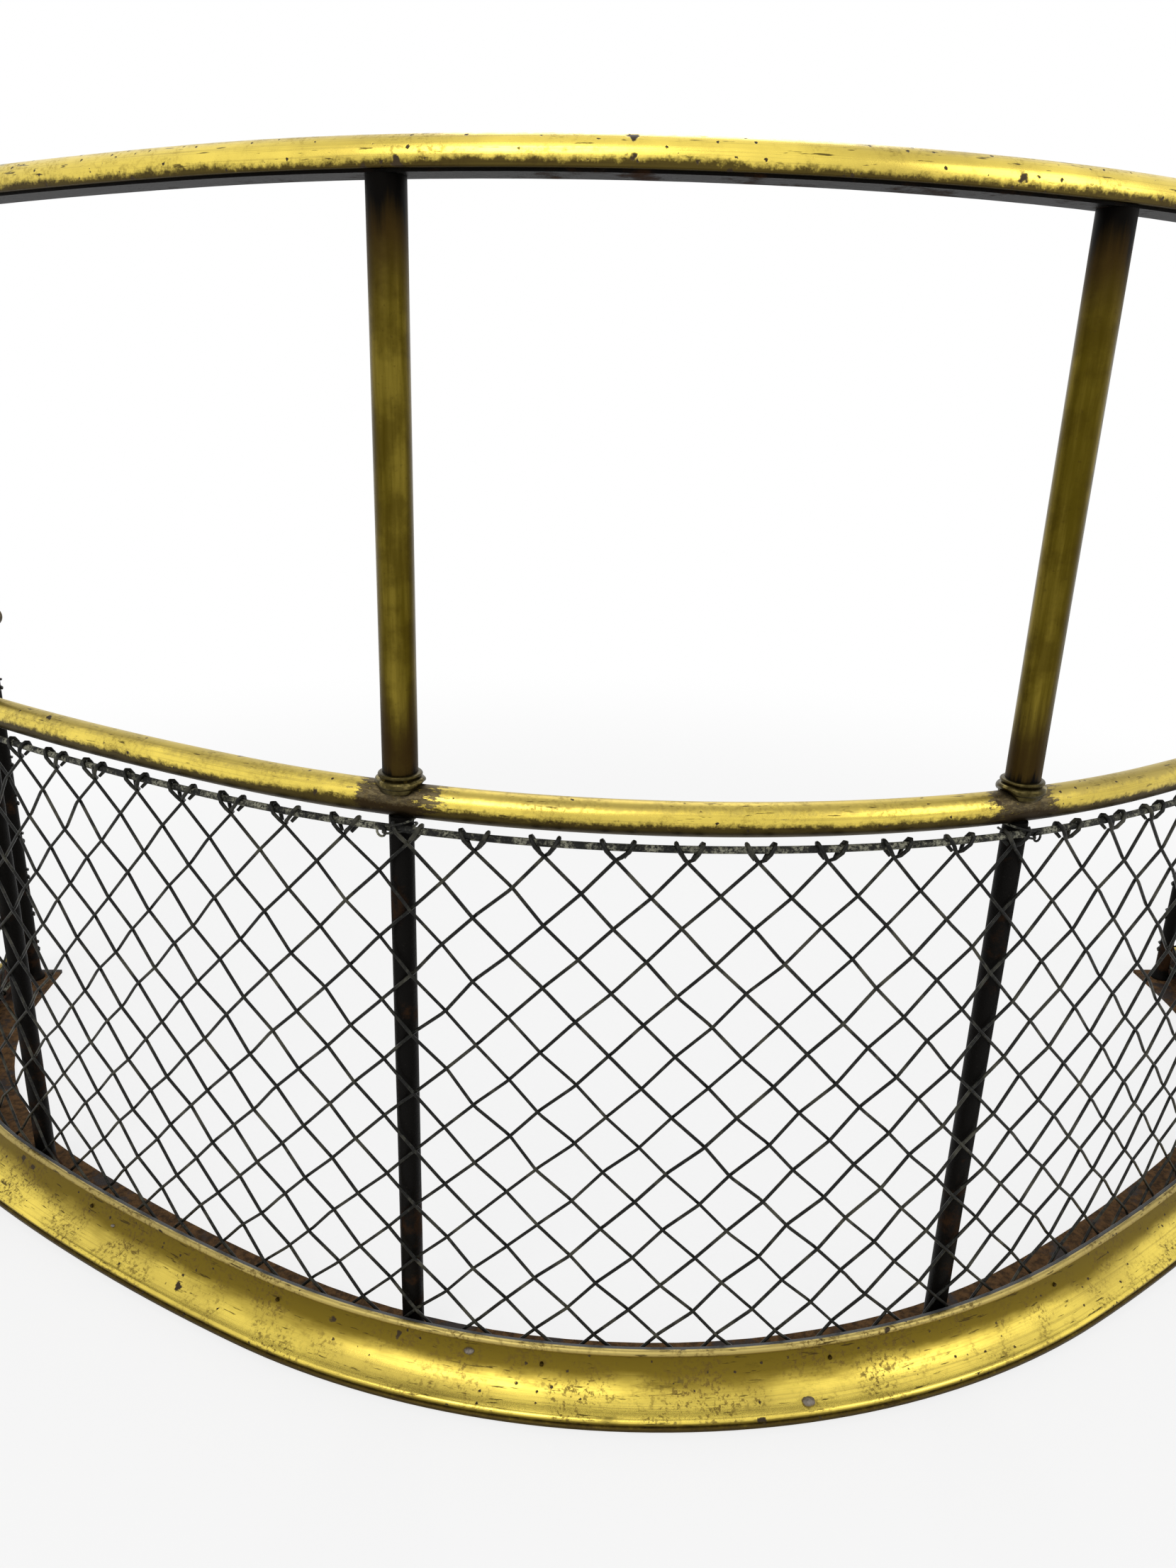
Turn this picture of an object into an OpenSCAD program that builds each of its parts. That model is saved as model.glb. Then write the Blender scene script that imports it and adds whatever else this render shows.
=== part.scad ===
// Bow-fronted wire fireplace screen: a brass-cased iron frame with a woven wire front,
// standing round the hearth with its open side to the chimney breast.
// The plan is one smooth line along the middle of the rails. "Offset" is the distance
// outwards from that line, "s" the distance along it from the middle of the front.

/* [Overall] */
// Height from the floor to the top of the top rail
height = 506; // [440:1:620]
// Height of the middle of the mid rail
mid_rail_z = 275; // [230:1:330]

/* [Plan] */
// Radius of the bowed front
bow_r = 400; // [330:1:500]
// Angle that each half of the bow turns through
bow_angle = 29; // [20:1:35]
// Radius of the flatter side sweeps
flank_r = 1160; // [900:10:1500]
// Angle that each side sweep turns through
flank_angle = 9; // [6:1:14]
// Radius of the corners at the sides
corner_r = 250; // [180:5:320]
// Straight run from each corner to the wall
return_len = 38; // [25:1:120]

/* [Posts] */
// Number of posts along the whole plan
post_count = 6; // [4:1:8]
// Distance from the wall end of the rails to the last post's axis
end_inset = 12; // [10:1:20]
// Diameter of the iron stanchion below the mid rail
stanchion_d = 10; // [9:0.5:12]
// Diameter of the iron rod inside the brass post
post_rod_d = 7; // [6:0.5:8]
// Diameter of the tenon through the top bar
tenon_d = 6; // [5:0.5:7]
// Outer diameter of the brass post
sleeve_d = 14; // [12:0.5:17]
// Wall of the brass post
sleeve_wall = 1; // [0.8:0.1:1.5]
// Greatest diameter of the foot collar of a post
collar_d = 20; // [18:0.5:24]
// Height of the foot collar above the top of the mid rail
collar_h = 5; // [4:0.5:8]
// Diameter of the spread foot of a stanchion
foot_d = 14.4; // [13:0.2:18]
// Height of the spread foot
foot_h = 5; // [4:0.5:6]

/* [Mid rail] */
// Outer diameter of the brass mid rail
mid_rail_d = 13.8; // [12:0.1:17]
// Wall of its brass casing
mid_rail_wall = 0.9; // [0.7:0.1:1.4]

/* [Top rail] */
// Width of the brass capping
cap_w = 17; // [15:0.5:21]
// Height of the brass capping
cap_h = 11; // [9:0.5:14]
// Wall of the brass capping
cap_wall = 1.2; // [0.8:0.1:1.5]
// Width of the iron bar between the lips of the capping
top_bar_w = 12; // [10:0.5:13]
// Thickness of the iron bar
top_bar_t = 4.4; // [4:0.1:5]
// How far the iron bar stands below the capping
top_bar_drop = 1; // [0.5:0.1:2]

/* [Base] */
// Distance from the rail line to the outer edge of the base
base_out = 32; // [30:0.5:40]
// Distance from the rail line to the inner edge of the floor plate
base_in = 15.4; // [12:0.2:20]
// Thickness of the iron floor plate
plate_t = 2.5; // [2:0.1:3.5]
// Height of the top bead of the base
rim_z = 26; // [22:0.5:28]
// Thickness of the iron kerb behind the brass moulding
kerb_t = 2; // [1.5:0.1:3]
// Width of the kerb's foot
kerb_foot_w = 13.6; // [12:0.2:16]
// Radius of the moulding's top bead
bead_r = 1.6; // [1.2:0.1:2]
// Thickness of the brass moulding
moulding_t = 1.2; // [0.8:0.1:1.5]
// Radius of the hollow of the moulding
cove_r = 23.5; // [20:0.1:26]
// Height of the square fillet at the foot of the moulding
fillet_h = 1.9; // [1.5:0.1:2.5]
// Diameter of the rivets that hold the kerb down
rivet_d = 4; // [3:0.5:5]
// Number of rivets in each bay
rivets_per_bay = 4; // [2:1:6]
// Diameter of the brass pins of the moulding
pin_d = 1.8; // [1.4:0.1:2.4]
// Number of brass pins in each bay
pins_per_bay = 2; // [1:1:4]

/* [Wire front] */
// Diameter of the rods that carry the wire
rod_d = 3; // [2.5:0.1:4]
// Drop from the underside of the mid rail to the middle of the top rod
rod_drop = 3.1; // [2.6:0.1:7]
// Height of the bottom rod above the floor
bottom_rod_z = 11; // [10:0.5:13]
// Diameter of the mesh wire
wire_d = 1.5; // [1:0.1:1.8]
// Number of meshes along the front
mesh_columns = 47; // [36:1:50]
// Number of whole meshes from the top crossings to the bottom ones
mesh_rows = 8; // [6:1:10]
// Drop from the top rod to the first crossings
apex_drop = 5.5; // [4:0.5:8]
// Rise from the bottom rod to the last crossings
node_rise = 18; // [12:1:22]
// Thickness of the wire ties
tie_t = 1.1; // [0.8:0.1:1.1]

/* [Hidden] */
$fn = 48;
PLAN_FN = 360;
WIRE_SIDES = 5;
CLEAR = 0.05;
SEAT = 0.02;

// Lengths along the plan
corner_angle = 90 - bow_angle - flank_angle;
bow_len = bow_r * bow_angle * PI / 180;
flank_len = flank_r * flank_angle * PI / 180;
corner_len = corner_r * corner_angle * PI / 180;
half_len = bow_len + flank_len + corner_len + return_len;
last_post_s = half_len - end_inset;
post_pitch = 2 * last_post_s / (post_count - 1);

// Ends of the arcs, measured from the middle of the front
bow_end = arc_step([0, 0], bow_r, 0, bow_angle);
flank_end = arc_step(bow_end, flank_r, bow_angle, bow_angle + flank_angle);
corner_end = arc_step(flank_end, corner_r, bow_angle + flank_angle, 90);
end_cap_t = 1.5;
plan_depth = corner_end[1] + return_len;
front_y = (base_out - plan_depth - end_cap_t) / 2;

// Top rail
cap_z = height - cap_h;
top_bar_z = cap_z - top_bar_drop;
rivet_head_h = 1.6;

// Mid rail
core_d = mid_rail_d - 2 * mid_rail_wall - 2 * CLEAR;
rod_hole_d = post_rod_d + 0.2;

// Base
kerb_in = stanchion_d / 2 + rod_d + 0.4;
kerb_out = kerb_in + kerb_t;
kerb_top = rim_z - 1.4;
fillet_in = base_out - 2.4;
roll_r = 1.8;
cove_lip = 0.4;
cove_x = kerb_out + cove_lip + cove_r;
cove_z = rim_z + 3;
fillet_z = 0.5;
rivet_lift = 0.2;
rivet_spread = 1.3;
rivet_off = kerb_out + 5.6;
pin_z = rim_z - 9;

// Wire front
mesh_off = stanchion_d / 2 + rod_d / 2 + 0.1;
lay_gap = wire_d / 2 + SEAT;
top_rod_z = mid_rail_z - mid_rail_d / 2 - rod_drop;
apex_z = top_rod_z - apex_drop;
row_h = (apex_z - bottom_rod_z - node_rise) / mesh_rows;
mesh_half = last_post_s;
column_w = 2 * mesh_half / mesh_columns;
wire_top = top_rod_z - rod_d / 2 - 0.4 * wire_d;
wire_bottom = bottom_rod_z + rod_d / 2 + 0.4 * wire_d;
wire_run = column_w / row_h;
tie_tilt = 21.5;

POSTS = [for (i = [1 : post_count]) i];

IRON = "#2b2623";
RUST = "#5a3a28";
BRASS = "#b8953a";
OLD_BRASS = "#7d6a2c";

// ---- The plan line ----

// Where an arc ends that starts at p and turns from heading a to heading b
function arc_step(p, r, a, b) = p + r * [sin(b) - sin(a), cos(a) - cos(b)];

// [x, y, heading] on the right half of the plan
function right_at(s) =
    s < bow_len ? on_arc([0, 0], bow_r, 0, s)
    : s < bow_len + flank_len ? on_arc(bow_end, flank_r, bow_angle, s - bow_len)
    : s < half_len - return_len
        ? on_arc(flank_end, corner_r, bow_angle + flank_angle, s - bow_len - flank_len)
    : [corner_end[0], corner_end[1] + s - (half_len - return_len), 90];

function on_arc(p, r, a, run) =
    let (b = a + run / r * 180 / PI, q = arc_step(p, r, a, b)) [q[0], q[1], b];

// [x, y, heading] anywhere on the plan, in the object's own frame
function plan_at(s) =
    let (p = right_at(abs(s)), side = s < 0 ? -1 : 1) [side * p[0], p[1] + front_y, side * p[2]];

function post_s(i) = (i - (post_count + 1) / 2) * post_pitch;

// Puts its children at s: local X runs along the plan, local -Y points outwards
module at_plan(s) {
    p = plan_at(s);
    translate([p[0], p[1], 0]) rotate([0, 0, p[2]]) children();
}

// Shifts by whole millimetres, then thousandths, then the rest, so that arcs meet exactly
module exact_shift(p) {
    whole = [round(p[0]), round(p[1])];
    fine = [round((p[0] - whole[0]) * 1000) / 1000, round((p[1] - whole[1]) * 1000) / 1000];
    translate(whole) translate(fine) translate(p - whole - fine) children();
}

// Sweeps a section round the arc that starts at p with heading a and ends with heading b
module arc_sweep(p, r, a, b) {
    exact_shift(p + r * [-sin(a), cos(a)])
        rotate_extrude(angle = b - a, start = a - 90, $fn = PLAN_FN) translate([r, 0]) children();
}

// Sweeps a section (X outwards from the rail line, Y up) along the plan, or short of its ends
module plan_sweep(short = 0) {
    turn = bow_angle + flank_angle;
    run = return_len - short;
    translate([0, front_y, 0]) {
        arc_sweep(arc_step([0, 0], bow_r, 0, -bow_angle), bow_r, -bow_angle, bow_angle) children();
        for (side = [0, 1])
            mirror([side, 0, 0]) {
                arc_sweep(bow_end, flank_r, bow_angle, turn) children();
                arc_sweep(flank_end, corner_r, turn, 90) children();
                exact_shift(corner_end)
                    translate([0, run, 0]) rotate([90, 0, 0]) linear_extrude(run) children();
            }
    }
}

// A thin closing piece just past both wall ends of a sweep
module plan_ends(t) {
    for (side = [0, 1])
        mirror([side, 0, 0])
            translate([corner_end[0], front_y + plan_depth + t, 0])
                rotate([90, 0, 0]) linear_extrude(t - SEAT) children();
}

// ---- Sections ----

module box2d(x0, x1, z0, z1) {
    translate([x0, z0]) square([x1 - x0, z1 - z0]);
}

// Half oval: an arc over a straight side on each edge
module half_oval(w, h, z) {
    arc_h = h - 2;
    arc_r = (w * w / 4 + arc_h * arc_h) / (2 * arc_h);
    intersection() {
        translate([0, z + h - arc_r]) circle(arc_r, $fn = 96);
        box2d(-w / 2, w / 2, z, z + h);
    }
}

module capping_section() {
    difference() {
        half_oval(cap_w, cap_h, cap_z);
        half_oval(cap_w - 2 * cap_wall, cap_h - 2 * cap_wall, cap_z + cap_wall);
        box2d(-top_bar_w / 2 - CLEAR, top_bar_w / 2 + CLEAR, cap_z - 1, cap_z + cap_wall + 1);
    }
}

module moulding_section() {
    in_face = kerb_out + SEAT;
    translate([in_face + bead_r, rim_z - bead_r]) circle(bead_r);
    difference() {
        intersection() {
            box2d(in_face, fillet_in, fillet_z, rim_z - bead_r);
            translate([cove_x, cove_z]) circle(cove_r + moulding_t, $fn = 180);
        }
        translate([cove_x, cove_z]) circle(cove_r, $fn = 180);
    }
    foot_top = cove_z - sqrt(pow(cove_r, 2) - pow(cove_x - fillet_in, 2));
    intersection() {
        translate([fillet_in, foot_top - roll_r]) circle(roll_r);
        box2d(fillet_in, base_out, foot_top - roll_r, foot_top);
    }
    box2d(fillet_in, fillet_in + roll_r - 0.5, fillet_z, foot_top - roll_r);
    box2d(fillet_in, base_out, fillet_z, fillet_z + fillet_h);
}

module cylinder_from(z0, z1, d) {
    translate([0, 0, z0]) cylinder(d = d, h = z1 - z0);
}

module rounded_rect(w, h, r) {
    square([w - 2 * r, h], center = true);
    square([w, h - 2 * r], center = true);
    for (x = [-1, 1], y = [-1, 1])
        translate([x * (w / 2 - r), y * (h / 2 - r)]) circle(r);
}

// ---- Base ----

module base_plate() {
    color(RUST) difference() {
        plan_sweep() box2d(-base_in, fillet_in - 0.2, 0, plate_t);
        for (i = POSTS) at_plan(post_s(i)) riveted_hole(post_rod_d);
        for (s = rivet_stations()) at_plan(s) translate([0, -rivet_off, 0]) riveted_hole(rivet_d);
    }
}

module base_kerb() {
    color(IRON) difference() {
        plan_sweep() {
            box2d(kerb_in, kerb_out, plate_t, kerb_top);
            box2d(kerb_in, kerb_in + kerb_foot_w, plate_t, plate_t + kerb_t);
        }
        for (s = rivet_stations())
            at_plan(s) translate([0, -rivet_off, 0])
                cylinder_from(0, 2 * plate_t + kerb_t, rivet_d + 2 * CLEAR);
        for (s = pin_stations()) at_plan(s) pin_shank(CLEAR);
    }
}

module base_moulding() {
    color(BRASS) difference() {
        plan_sweep() moulding_section();
        for (s = pin_stations()) at_plan(s) pin_shank(CLEAR);
    }
}

function stations(n) =
    [for (bay = [0 : post_count - 2], k = [0 : n - 1]) post_s(bay + 1) + post_pitch * (k + 0.5) / n];
function rivet_stations() = stations(rivets_per_bay);
function pin_stations() = stations(pins_per_bay);

// Countersunk end of a rivet or tenon, hammered flush under the floor plate
module riveted_end(d, top) {
    cylinder_from(rivet_lift, top, d);
    translate([0, 0, rivet_lift]) cylinder(d1 = d + 2 * rivet_spread, d2 = d, h = rivet_spread);
}

module riveted_hole(d) {
    cylinder_from(-1, 2 * plate_t, d + 2 * CLEAR);
    cylinder_from(-1, rivet_lift, d + 2 * rivet_spread + 2 * CLEAR);
    translate([0, 0, rivet_lift])
        cylinder(d1 = d + 2 * rivet_spread + 2 * CLEAR, d2 = d + 2 * CLEAR, h = rivet_spread);
}

module rivet_head() {
    translate([0, 0, plate_t + kerb_t + SEAT]) cylinder(d1 = rivet_d * 1.6, d2 = rivet_d * 0.9, h = 1.8);
}

module base_rivets() {
    color(IRON) for (s = rivet_stations())
        at_plan(s) translate([0, -rivet_off, 0]) {
            riveted_end(rivet_d, plate_t + kerb_t + 0.5);
            rivet_head();
        }
}

// Outer face of the hollow at the height of the pins
function pin_face() = cove_x - sqrt(pow(cove_r, 2) - pow(cove_z - pin_z, 2));

module pin_shank(gap) {
    translate([0, -kerb_in - 0.2 + gap, pin_z])
        rotate([90, 0, 0]) cylinder(d = pin_d + 2 * gap, h = pin_face() + 0.6 - kerb_in + 2 * gap);
}

module moulding_pins() {
    color(OLD_BRASS) for (s = pin_stations()) at_plan(s) pin_shank(0);
}

// ---- Rails ----

module mid_rail_holes() {
    for (i = POSTS)
        at_plan(post_s(i))
            translate([0, 0, mid_rail_z - mid_rail_d]) cylinder(d = rod_hole_d, h = 2 * mid_rail_d);
}

module mid_rail_core() {
    color(IRON) difference() {
        plan_sweep() translate([0, mid_rail_z]) circle(d = core_d);
        mid_rail_holes();
    }
}

module mid_rail_casing() {
    color(BRASS) difference() {
        plan_sweep() difference() {
            translate([0, mid_rail_z]) circle(d = mid_rail_d);
            translate([0, mid_rail_z]) circle(d = mid_rail_d - 2 * mid_rail_wall);
        }
        mid_rail_holes();
    }
}

module mid_rail_end_caps() {
    color(OLD_BRASS) plan_ends(end_cap_t) translate([0, mid_rail_z]) circle(d = mid_rail_d);
}

// The solid that the posts are shaped to where they meet the mid rail
module mid_rail_body(gap) {
    plan_sweep() translate([0, mid_rail_z]) circle(d = mid_rail_d + 2 * gap);
}

module top_rail_bar() {
    color(IRON) difference() {
        plan_sweep() box2d(-top_bar_w / 2, top_bar_w / 2, top_bar_z, top_bar_z + top_bar_t);
        for (i = POSTS)
            at_plan(post_s(i))
                translate([0, 0, top_bar_z - 1]) cylinder(d = tenon_d + 0.2, h = top_bar_t + 2);
    }
}

module top_rail_capping() {
    color(BRASS) plan_sweep() capping_section();
}

module top_rail_end_caps() {
    color(OLD_BRASS) plan_ends(end_cap_t) half_oval(cap_w, cap_h, cap_z);
}

// ---- Posts ----

// One iron bar: riveted foot, stout lower part, thin upper rod and a tenon through the top bar
module stanchion(i) {
    color(IRON) at_plan(post_s(i)) {
        riveted_end(post_rod_d, plate_t + 1);
        translate([0, 0, plate_t + SEAT])
            cylinder(d1 = foot_d, d2 = stanchion_d, h = foot_h);
        translate([0, 0, plate_t + SEAT])
            cylinder(d = stanchion_d, h = mid_rail_z - mid_rail_d / 2 - plate_t - 2 * SEAT);
        cylinder_from(plate_t, top_bar_z - SEAT, post_rod_d);
        cylinder_from(top_bar_z - 1, top_bar_z + top_bar_t + 0.5, tenon_d);
        translate([0, 0, top_bar_z + top_bar_t + SEAT])
            cylinder(r1 = tenon_d * 0.75, r2 = tenon_d * 0.45, h = rivet_head_h);
    }
}

// Brass tube, cut at its foot to sit on the round of the mid rail
module post_sleeve(i) {
    color(OLD_BRASS) difference() {
        at_plan(post_s(i)) difference() {
            cylinder_from(mid_rail_z, top_bar_z - SEAT, sleeve_d);
            cylinder_from(mid_rail_z - 1, top_bar_z + 1, sleeve_d - 2 * sleeve_wall);
        }
        mid_rail_body(SEAT);
    }
}

// Cast ring round the foot of a post, saddled over the mid rail
module post_collar(i) {
    bore_r = sleeve_d / 2 + CLEAR;
    top_z = mid_rail_z + mid_rail_d / 2 + collar_h;
    bead = (collar_d / 2 - bore_r) / 2;
    bead_z = top_z - collar_h * 0.7;
    color(OLD_BRASS) difference() {
        at_plan(post_s(i)) rotate_extrude() {
            box2d(bore_r, bore_r + bead, mid_rail_z + 2, top_z - 0.6);
            box2d(bore_r, bore_r + bead * 0.8, top_z - 1, top_z);
            box2d(bore_r, collar_d / 2, mid_rail_z + 2, bead_z);
            translate([bore_r + bead, bead_z]) circle(bead);
        }
        mid_rail_body(SEAT);
    }
}

// ---- Wire front ----

// Iron rod that stops just past the last posts
module mesh_rod(z) {
    color(IRON) plan_sweep(end_inset - stanchion_d / 2) translate([mesh_off, z]) circle(d = rod_d);
}

// A point on the wire front: s along it, height z, offset from the rail line
function mesh_point(s, z, off) =
    let (p = plan_at(s)) [p[0] + off * sin(p[2]), p[1] - off * cos(p[2]), z];

// Heights of the bends of one wire, from its top to its bottom
function wire_levels(hi, lo) = concat(
    [hi],
    [for (j = [0 : mesh_rows]) let (z = apex_z - j * row_h) if (z < hi - 3 && z > lo + 3) z],
    [lo]
);

// One wire that passes the top row of crossings at s0 and runs towards dir as it drops
module mesh_wire(s0, dir, off) {
    start = -dir * mesh_half;
    hi = dir * (s0 - start) >= 0 ? wire_top : apex_z - (start - s0) * dir / wire_run;
    lo = max(wire_bottom, apex_z - (dir * mesh_half - s0) * dir / wire_run);
    hi_end = min(hi, wire_top);
    if (hi_end - lo > 6) {
        levels = wire_levels(hi_end, lo);
        rings = [for (z = levels) wire_ring(s0 + dir * (apex_z - z) * wire_run, z, dir, off)];
        n = len(levels);
        polyhedron(
            points = [for (ring = rings) each ring],
            faces = concat(
                [[for (k = [0 : WIRE_SIDES - 1]) k]],
                [for (j = [0 : n - 2], k = [0 : WIRE_SIDES - 1])
                    let (a = j * WIRE_SIDES, b = a + WIRE_SIDES, m = (k + 1) % WIRE_SIDES)
                    each [[a + k, b + k, b + m], [a + k, b + m, a + m]]],
                [[for (k = [WIRE_SIDES - 1 : -1 : 0]) (n - 1) * WIRE_SIDES + k]]
            )
        );
    }
}

// Corners of a wire's section at (s, z), square to the way the wire runs
function wire_ring(s, z, dir, off) =
    let (
        h = plan_at(s)[2],
        c = mesh_point(s, z, off),
        out = [sin(h), -cos(h), 0],
        slope = atan(wire_run),
        across = [cos(h) * cos(slope), sin(h) * cos(slope), dir * sin(slope)]
    )
    [for (k = [0 : WIRE_SIDES - 1])
        let (t = -360 * k / WIRE_SIDES)
        c + wire_d / 2 * (cos(t) * out + sin(t) * across)];

// One lay of parallel wires
module mesh_lay(dir, off) {
    extra = ceil((wire_top - wire_bottom) * wire_run / column_w);
    color(IRON) for (k = [-extra : mesh_columns + extra])
        mesh_wire(-mesh_half + k * column_w, dir, off);
}

// Bent wire that binds the top rod and the mesh to a stanchion
module rod_tie(s) {
    front = mesh_off + lay_gap + wire_d / 2 + 0.1;
    back = stanchion_d / 2 + 0.1;
    half_w = (stanchion_d / 2 + 0.1 + tie_t / 2 * sin(tie_tilt)) / cos(tie_tilt);
    side = s < 0 ? -1 : 1;
    at_plan(s) translate([0, -(front - back) / 2, top_rod_z])
        rotate([0, side * tie_tilt, 0]) translate([0, 0, -tie_t / 2])
            linear_extrude(tie_t) difference() {
                rounded_rect(2 * (half_w + tie_t), front + back + 2 * tie_t, 2.5);
                rounded_rect(2 * half_w, front + back, 1.3);
            }
}

module rod_ties() {
    color(IRON) for (i = POSTS) rod_tie(post_s(i));
}

// ---- Nodes ----

base_plate();
base_kerb();
base_moulding();
base_rivets();
moulding_pins();
mid_rail_core();
mid_rail_casing();
mid_rail_end_caps();
top_rail_bar();
top_rail_capping();
top_rail_end_caps();
mesh_rod(top_rod_z);  // mesh_top_rod
mesh_rod(bottom_rod_z);  // mesh_bottom_rod
mesh_lay(1, mesh_off + lay_gap);  // mesh_left_lay
mesh_lay(-1, mesh_off - lay_gap);  // mesh_right_lay
rod_ties();
for (i = POSTS) stanchion(i);
for (i = POSTS) post_sleeve(i);
for (i = POSTS) post_collar(i);
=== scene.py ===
"""Looks of a bow-fronted fireplace screen: brass rails and moulding over an iron frame,
with a woven wire front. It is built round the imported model, in metres, in the same frame."""

import math
import random

import bpy
from mathutils import Matrix, Vector


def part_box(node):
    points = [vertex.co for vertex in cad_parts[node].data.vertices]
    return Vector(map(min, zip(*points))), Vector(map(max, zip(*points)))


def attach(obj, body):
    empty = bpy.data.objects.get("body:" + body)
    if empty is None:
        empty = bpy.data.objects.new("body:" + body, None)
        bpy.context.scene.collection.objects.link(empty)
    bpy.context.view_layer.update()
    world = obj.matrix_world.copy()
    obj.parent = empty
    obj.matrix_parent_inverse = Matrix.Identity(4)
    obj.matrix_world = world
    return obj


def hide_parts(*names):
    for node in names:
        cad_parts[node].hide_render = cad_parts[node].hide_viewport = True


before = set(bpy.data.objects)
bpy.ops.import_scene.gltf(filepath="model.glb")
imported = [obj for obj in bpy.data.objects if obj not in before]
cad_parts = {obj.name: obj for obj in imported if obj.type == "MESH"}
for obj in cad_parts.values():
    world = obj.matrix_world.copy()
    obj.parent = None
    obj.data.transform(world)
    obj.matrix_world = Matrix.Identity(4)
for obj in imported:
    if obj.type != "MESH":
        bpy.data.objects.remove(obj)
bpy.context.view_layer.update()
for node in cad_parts.values():
    node.select_set(False)
MM = 0.001

# ---- Floor plate and rivets ----
# A flat bar of iron, 45 mm wide, that lies on the hearth and carries everything above it.
# It was bent to the bow in the forge, and rust has eaten it brown. Iron rivets hold the
# angle of the kerb down to it, with their ends hammered flush underneath.


def add_node(tree, kind, inputs=(), **settings):
    """One shader node, with its settings, and its inputs given as values or as sockets."""
    made = tree.nodes.new(kind)
    for name, value in settings.items():
        setattr(made, name, value)
    for name, value in dict(inputs).items():
        if isinstance(value, bpy.types.NodeSocket):
            tree.links.new(value, made.inputs[name])
        else:
            made.inputs[name].default_value = value
    return made


def new_finish(name, metallic):
    """An empty metal finish: its material, tree and shader."""
    finish = bpy.data.materials.new(name)
    finish.use_nodes = True
    tree = finish.node_tree
    shader = tree.nodes["Principled BSDF"]
    shader.inputs["Metallic"].default_value = metallic
    return finish, tree, shader


def object_place(tree):
    return add_node(tree, "ShaderNodeTexCoord").outputs["Object"]


def stretched(tree, place, scale):
    """The place, drawn out along the axes that have a small scale."""
    return add_node(tree, "ShaderNodeMapping", {"Vector": place, "Scale": scale}).outputs["Vector"]


def noise(tree, place, scale, detail=4.0, roughness=0.6):
    made = add_node(
        tree,
        "ShaderNodeTexNoise",
        {"Vector": place, "Scale": scale, "Detail": detail, "Roughness": roughness},
    )
    return made.outputs["Fac"]


def between(tree, value, low, high):
    """0 below low and 1 above high, smoothly."""
    made = add_node(
        tree,
        "ShaderNodeMapRange",
        {"Value": value, "From Min": low, "From Max": high},
        interpolation_type="SMOOTHSTEP",
    )
    return made.outputs["Result"]


def both(tree, a, b, operation="MULTIPLY"):
    made = tree.nodes.new("ShaderNodeMath")
    made.operation = operation
    for socket, value in zip(made.inputs, (a, b)):
        if isinstance(value, bpy.types.NodeSocket):
            tree.links.new(value, socket)
        else:
            socket.default_value = value
    return made.outputs["Value"]


def blend_colour(tree, amount, under, over):
    made = add_node(tree, "ShaderNodeMix", data_type="RGBA")
    for socket, value in zip((made.inputs[0], made.inputs[6], made.inputs[7]), (amount, under, over)):
        if isinstance(value, bpy.types.NodeSocket):
            tree.links.new(value, socket)
        elif isinstance(value, tuple):
            socket.default_value = (*value, 1.0)
        else:
            socket.default_value = value
    return made.outputs[2]


def blend_value(tree, amount, under, over):
    """From under to over as amount goes from 0 to 1."""
    made = add_node(tree, "ShaderNodeMapRange", {"Value": amount, "To Min": under, "To Max": over})
    return made.outputs["Result"]


def roughen(tree, shader, height, distance):
    """Relief on the surface, as deep as the distance in metres."""
    made = add_node(tree, "ShaderNodeBump", {"Height": height, "Distance": distance, "Strength": 1.0})
    tree.links.new(made.outputs["Normal"], shader.inputs["Normal"])


def rusty_iron():
    """Brown rust in flakes over what is left of the black scale."""
    finish, tree, shader = new_finish("rusty_iron", 0.0)
    place = object_place(tree)
    flakes = noise(tree, place, 260.0, 8.0, 0.7)
    clouds = noise(tree, place, 45.0, 5.0)
    rust = blend_colour(tree, between(tree, flakes, 0.35, 0.65), (0.034, 0.018, 0.007), (0.130, 0.066, 0.024))
    scale_left = between(tree, clouds, 0.52, 0.62)
    colour = blend_colour(tree, scale_left, rust, (0.022, 0.015, 0.012))
    shader.inputs["Specular IOR Level"].default_value = 0.2
    tree.links.new(colour, shader.inputs["Base Color"])
    tree.links.new(blend_value(tree, scale_left, 0.9, 0.6), shader.inputs["Roughness"])
    roughen(tree, shader, flakes, 0.4 * MM)
    return finish


def black_iron():
    """Black scale, worn to grey on the high spots, with rust showing through in patches."""
    finish, tree, shader = new_finish("black_iron", 0.0)
    place = object_place(tree)
    hammered = noise(tree, place, 90.0, 3.0)
    grain = noise(tree, place, 700.0, 6.0, 0.7)
    height = add_node(tree, "ShaderNodeSeparateXYZ", {"Vector": place}).outputs["Z"]
    damp = both(tree, between(tree, height, 0.16, 0.0), 0.07)
    rust_patch = between(tree, both(tree, noise(tree, place, 32.0, 7.0, 0.7), damp, "ADD"), 0.55, 0.70)
    worn = between(tree, grain, 0.60, 0.74)
    colour = blend_colour(tree, worn, (0.0045, 0.0040, 0.0034), (0.020, 0.018, 0.015))
    colour = blend_colour(tree, rust_patch, colour, (0.034, 0.016, 0.007))
    shader.inputs["Specular IOR Level"].default_value = 0.04
    tree.links.new(colour, shader.inputs["Base Color"])
    tree.links.new(blend_value(tree, rust_patch, 0.42, 0.85), shader.inputs["Roughness"])
    roughen(tree, shader, both(tree, hammered, grain, "ADD"), 0.25 * MM)
    return finish


def finish_node(name, finish):
    """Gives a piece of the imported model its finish."""
    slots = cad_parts[name].data.materials
    slots.clear()
    slots.append(finish)


RUSTY_IRON = rusty_iron()
BLACK_IRON = black_iron()
finish_node("base_plate", RUSTY_IRON)
finish_node("base_rivets", BLACK_IRON)

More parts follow.
